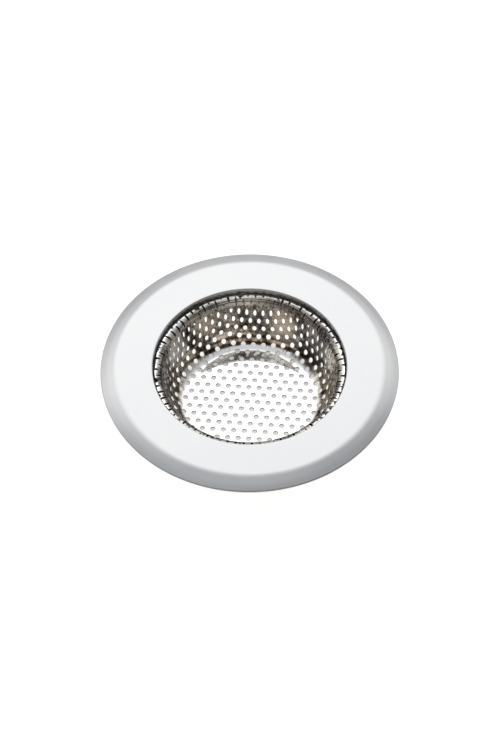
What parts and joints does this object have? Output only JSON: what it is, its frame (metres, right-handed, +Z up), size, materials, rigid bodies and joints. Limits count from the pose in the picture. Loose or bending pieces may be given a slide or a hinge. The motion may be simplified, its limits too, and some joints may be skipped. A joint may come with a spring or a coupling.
{
  "type": "sink strainer",
  "caption": "Drop-in sink strainer: a wide satin rim with a hemmed edge and a drawn neck, and a deep-drawn perforated basket in the neck that catches food scraps.",
  "frame": {"origin": "on the strainer's axis, at the underside of the basket's floor", "axes": "+Z up along the strainer's axis, out of the drain; the strainer is round, and +X and +Y lie in the plane of its rim"},
  "size_m": [0.1124, 0.1124, 0.023],
  "materials": {
    "satin_steel": "fine satin, near white under soft light",
    "polished_steel": "bright drawn finish, mirror-like with faint draw marks"
  },
  "bodies": {
    "root": {"rim": "satin_steel", "basket": "polished_steel"}
  },
  "joints": []
}
